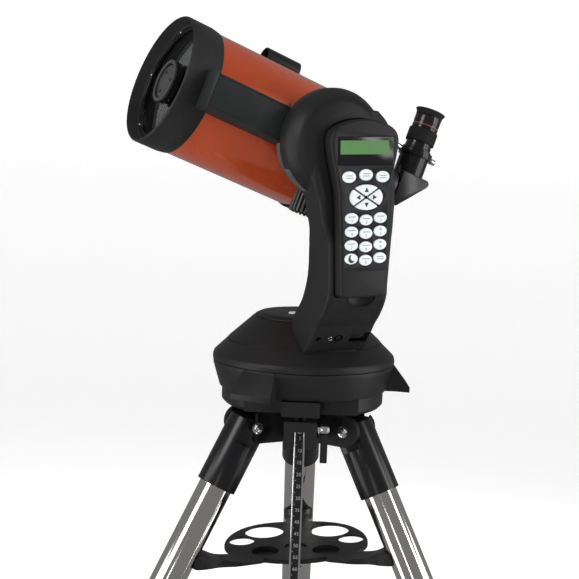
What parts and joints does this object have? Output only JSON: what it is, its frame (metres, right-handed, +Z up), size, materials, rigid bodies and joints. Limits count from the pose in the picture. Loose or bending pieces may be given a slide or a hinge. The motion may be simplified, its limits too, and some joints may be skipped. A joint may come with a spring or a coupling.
{
  "type": "schmidt-cassegrain telescope on a computerised single-arm mount and tripod",
  "caption": "Compact catadioptric telescope with an orange tube on a motorised single-arm alt-azimuth mount with docked hand controller and folding steel tripod.",
  "frame": {"origin": "centre of the footprint on the floor: middle of the bounding box in X and Y, floor at Z = 0", "axes": "+Z up; the altitude axis runs along Y; the tube points to -X and up; the arm and hand controller are on the -Y side"},
  "size_m": [0.8146, 0.9224, 1.2586],
  "materials": {
    "black_plastic": "fine satin texture",
    "crinkle_black": "crinkle paint",
    "dark_metal": "satin black",
    "orange_paint": "glossy metallic",
    "polished_steel": "polished stainless",
    "brass": "machined",
    "rubber": "matte",
    "key_plastic": "backlit key",
    "corrector_glass": "coated",
    "mirror_glass": "aluminised",
    "display": "green liquid crystal behind a window"
  },
  "bodies": {
    "tripod": {"tripod_hub": "dark_metal"},
    "plate": {"tilt_plate": "black_plastic", "base_lower": "black_plastic", "azimuth_gear": "brass"},
    "table": {"turntable": "black_plastic", "arm_frame": "black_plastic", "arm_cover": "black_plastic"},
    "head": {"altitude_hub": "crinkle_black", "altitude_gear": "brass"},
    "ota": {"front_cell": "crinkle_black", "optical_tube": "orange_paint", "corrector_plate": "corrector_glass", "secondary_holder": "dark_metal", "baffle_tube": "black_plastic", "rear_cell": "crinkle_black", "dovetail_bar": "dark_metal", "visual_back": "dark_metal", "red_dot_finder": "black_plastic"},
    "diagonal": {"diagonal": "black_plastic"},
    "eyepiece": {"eyepiece": "dark_metal", "eye_cup": "rubber"},
    "focus_knob": {"focus_knob": "rubber"},
    "mirror": {"primary_mirror": "mirror_glass"},
    "controller": {"controller_case": "black_plastic", "controller_display": "display"},
    "latitude_bar": {"latitude_bar": "polished_steel"},
    "clamp_lever": {"clamp_lever": "black_plastic"},
    "tray": {"accessory_tray": "black_plastic"},
    "battery_cover": {"battery_cover": "black_plastic"},
    "power_switch": {"power_switch": "black_plastic"},
    "azimuth_worm": {"azimuth_worm": "brass"},
    "altitude_worm": {"altitude_worm": "brass"},
    "leg_rear": {"leg_sleeve_rear": "black_plastic", "leg_tube_rear": "polished_steel"},
    "extension_rear": {"leg_extension_rear": "polished_steel"},
    "leg_left": {"leg_sleeve_left": "black_plastic", "leg_tube_left": "polished_steel"},
    "extension_left": {"leg_extension_left": "polished_steel"},
    "leg_right": {"leg_sleeve_right": "black_plastic", "leg_tube_right": "polished_steel"},
    "extension_right": {"leg_extension_right": "polished_steel"},
    "key_menu": {"key_menu": "key_plastic"},
    "key_enter": {"key_enter": "key_plastic"},
    "key_back": {"key_back": "key_plastic"},
    "key_up": {"key_up": "key_plastic"},
    "key_left": {"key_left": "key_plastic"},
    "key_right": {"key_right": "key_plastic"},
    "key_down": {"key_down": "key_plastic"},
    "key_1": {"key_1": "key_plastic"},
    "key_2": {"key_2": "key_plastic"},
    "key_3": {"key_3": "key_plastic"},
    "key_4": {"key_4": "key_plastic"},
    "key_5": {"key_5": "key_plastic"},
    "key_6": {"key_6": "key_plastic"},
    "key_7": {"key_7": "key_plastic"},
    "key_8": {"key_8": "key_plastic"},
    "key_9": {"key_9": "key_plastic"},
    "key_lamp": {"key_lamp": "key_plastic"},
    "key_0": {"key_0": "key_plastic"},
    "key_help": {"key_help": "key_plastic"}
  },
  "joints": [
    {"name": "azimuth_turn", "type": "hinge", "parent": "plate", "child": "table", "pos_m": [0.12263, -0.0064, 0.9], "axis": [0, 0, 1], "continuous": true},
    {"name": "altitude_tilt", "type": "hinge", "parent": "table", "child": "head", "pos_m": [0.09163, -0.0994, 1.1297], "axis": [0, 1, 0], "range_deg": [-35, 38]},
    {"name": "tube_slide", "type": "slide", "parent": "head", "child": "ota", "axis": [-0.9366, 0, 0.3505], "range_m": [-0.02, 0.02]},
    {"name": "plate_tilt", "type": "hinge", "parent": "tripod", "child": "plate", "pos_m": [0.16281, 0.06736, 0.838], "axis": [-0.8782, 0.4784, 0], "range_deg": [0, 55]},
    {"name": "bar_swing", "type": "hinge", "parent": "plate", "child": "latitude_bar", "pos_m": [0.08053, -0.08368, 0.824], "axis": [-0.8782, 0.4784, 0], "range_deg": [-34, 2]},
    {"name": "leg_fold_rear", "type": "hinge", "parent": "tripod", "child": "leg_rear", "pos_m": [0.15595, 0.05476, 0.81], "axis": [-0.8782, 0.4784, 0], "range_deg": [0, 20]},
    {"name": "leg_fold_left", "type": "hinge", "parent": "tripod", "child": "leg_left", "pos_m": [0.053, -0.00813, 0.81], "axis": [0.0248, -0.9997, 0], "range_deg": [0, 20]},
    {"name": "leg_fold_right", "type": "hinge", "parent": "tripod", "child": "leg_right", "pos_m": [0.15894, -0.06583, 0.81], "axis": [0.8534, 0.5213, 0], "range_deg": [0, 20]},
    {"name": "tray_drop", "type": "slide", "parent": "tripod", "child": "tray", "axis": [0, 0, -1], "range_m": [0, 0.42]},
    {"name": "leg_extend_rear", "type": "slide", "parent": "leg_rear", "child": "extension_rear", "axis": [0.2281, 0.4187, -0.879], "range_m": [0, 0.28]},
    {"name": "leg_extend_left", "type": "slide", "parent": "leg_left", "child": "extension_left", "axis": [-0.4766, -0.0118, -0.879], "range_m": [0, 0.28]},
    {"name": "leg_extend_right", "type": "slide", "parent": "leg_right", "child": "extension_right", "axis": [0.2485, -0.4069, -0.879], "range_m": [0, 0.28]},
    {"name": "controller_lift", "type": "slide", "parent": "table", "child": "controller", "axis": [0, -1, 0], "range_m": [0, 0.06]},
    {"name": "diagonal_turn", "type": "hinge", "parent": "ota", "child": "diagonal", "pos_m": [0.22846, -0.0064, 1.08209], "axis": [-0.9366, 0, 0.3505], "range_deg": [-90, 90]},
    {"name": "eyepiece_slide", "type": "slide", "parent": "diagonal", "child": "eyepiece", "axis": [0.3505, 0, 0.9366], "range_m": [0, 0.03]},
    {"name": "focus_turn", "type": "hinge", "parent": "ota", "child": "focus_knob", "pos_m": [0.195, 0.0236, 1.05831], "axis": [-0.9366, 0, 0.3505], "range_deg": [-1080, 1080]},
    {"name": "mirror_focus", "type": "slide", "parent": "ota", "child": "mirror", "axis": [-0.9366, 0, 0.3505], "range_m": [-0.00226, 0.00226]},
    {"name": "lever_turn", "type": "hinge", "parent": "tripod", "child": "clamp_lever", "pos_m": [0.10424, -0.09659, 0.819], "axis": [0.8782, -0.4784, 0], "range_deg": [-60, 20]},
    {"name": "battery_cover_lift", "type": "slide", "parent": "table", "child": "battery_cover", "axis": [0, 0, 1], "range_m": [0, 0.015]},
    {"name": "power_switch_rock", "type": "hinge", "parent": "table", "child": "power_switch", "pos_m": [0.11213, -0.1027, 0.9214], "axis": [1, 0, 0], "range_deg": [0, 18]},
    {"name": "azimuth_worm_spin", "type": "hinge", "parent": "table", "child": "azimuth_worm", "pos_m": [0.12263, 0.062, 0.888], "axis": [1, 0, 0], "continuous": true},
    {"name": "altitude_worm_spin", "type": "hinge", "parent": "table", "child": "altitude_worm", "pos_m": [0.13603, -0.1098, 1.1297], "axis": [0, 0, 1], "range_deg": [-6400, 8200]},
    {"name": "key_menu_press", "type": "slide", "parent": "controller", "child": "key_menu", "axis": [0, 1, 0], "range_m": [0, 0.001], "stiffness_N_per_m": 500},
    {"name": "key_enter_press", "type": "slide", "parent": "controller", "child": "key_enter", "axis": [0, 1, 0], "range_m": [0, 0.001], "stiffness_N_per_m": 500},
    {"name": "key_back_press", "type": "slide", "parent": "controller", "child": "key_back", "axis": [0, 1, 0], "range_m": [0, 0.001], "stiffness_N_per_m": 500},
    {"name": "key_up_press", "type": "slide", "parent": "controller", "child": "key_up", "axis": [0, 1, 0], "range_m": [0, 0.001], "stiffness_N_per_m": 500},
    {"name": "key_left_press", "type": "slide", "parent": "controller", "child": "key_left", "axis": [0, 1, 0], "range_m": [0, 0.001], "stiffness_N_per_m": 500},
    {"name": "key_right_press", "type": "slide", "parent": "controller", "child": "key_right", "axis": [0, 1, 0], "range_m": [0, 0.001], "stiffness_N_per_m": 500},
    {"name": "key_down_press", "type": "slide", "parent": "controller", "child": "key_down", "axis": [0, 1, 0], "range_m": [0, 0.001], "stiffness_N_per_m": 500},
    {"name": "key_1_press", "type": "slide", "parent": "controller", "child": "key_1", "axis": [0, 1, 0], "range_m": [0, 0.001], "stiffness_N_per_m": 500},
    {"name": "key_2_press", "type": "slide", "parent": "controller", "child": "key_2", "axis": [0, 1, 0], "range_m": [0, 0.001], "stiffness_N_per_m": 500},
    {"name": "key_3_press", "type": "slide", "parent": "controller", "child": "key_3", "axis": [0, 1, 0], "range_m": [0, 0.001], "stiffness_N_per_m": 500},
    {"name": "key_4_press", "type": "slide", "parent": "controller", "child": "key_4", "axis": [0, 1, 0], "range_m": [0, 0.001], "stiffness_N_per_m": 500},
    {"name": "key_5_press", "type": "slide", "parent": "controller", "child": "key_5", "axis": [0, 1, 0], "range_m": [0, 0.001], "stiffness_N_per_m": 500},
    {"name": "key_6_press", "type": "slide", "parent": "controller", "child": "key_6", "axis": [0, 1, 0], "range_m": [0, 0.001], "stiffness_N_per_m": 500},
    {"name": "key_7_press", "type": "slide", "parent": "controller", "child": "key_7", "axis": [0, 1, 0], "range_m": [0, 0.001], "stiffness_N_per_m": 500},
    {"name": "key_8_press", "type": "slide", "parent": "controller", "child": "key_8", "axis": [0, 1, 0], "range_m": [0, 0.001], "stiffness_N_per_m": 500},
    {"name": "key_9_press", "type": "slide", "parent": "controller", "child": "key_9", "axis": [0, 1, 0], "range_m": [0, 0.001], "stiffness_N_per_m": 500},
    {"name": "key_lamp_press", "type": "slide", "parent": "controller", "child": "key_lamp", "axis": [0, 1, 0], "range_m": [0, 0.001], "stiffness_N_per_m": 500},
    {"name": "key_0_press", "type": "slide", "parent": "controller", "child": "key_0", "axis": [0, 1, 0], "range_m": [0, 0.001], "stiffness_N_per_m": 500},
    {"name": "key_help_press", "type": "slide", "parent": "controller", "child": "key_help", "axis": [0, 1, 0], "range_m": [0, 0.001], "stiffness_N_per_m": 500}
  ],
  "couplings": [
    {"joint": "bar_swing", "follows": "plate_tilt", "ratio": -0.6},
    {"joint": "leg_fold_left", "follows": "leg_fold_rear", "ratio": 1},
    {"joint": "leg_fold_right", "follows": "leg_fold_rear", "ratio": 1},
    {"joint": "tray_drop", "follows": "leg_fold_rear", "m_per_rad": 1.178},
    {"joint": "focus_turn", "follows": "mirror_focus", "rad_per_m": 8333.3},
    {"joint": "azimuth_worm_spin", "follows": "azimuth_turn", "ratio": 180},
    {"joint": "altitude_worm_spin", "follows": "altitude_tilt", "ratio": 180}
  ]
}
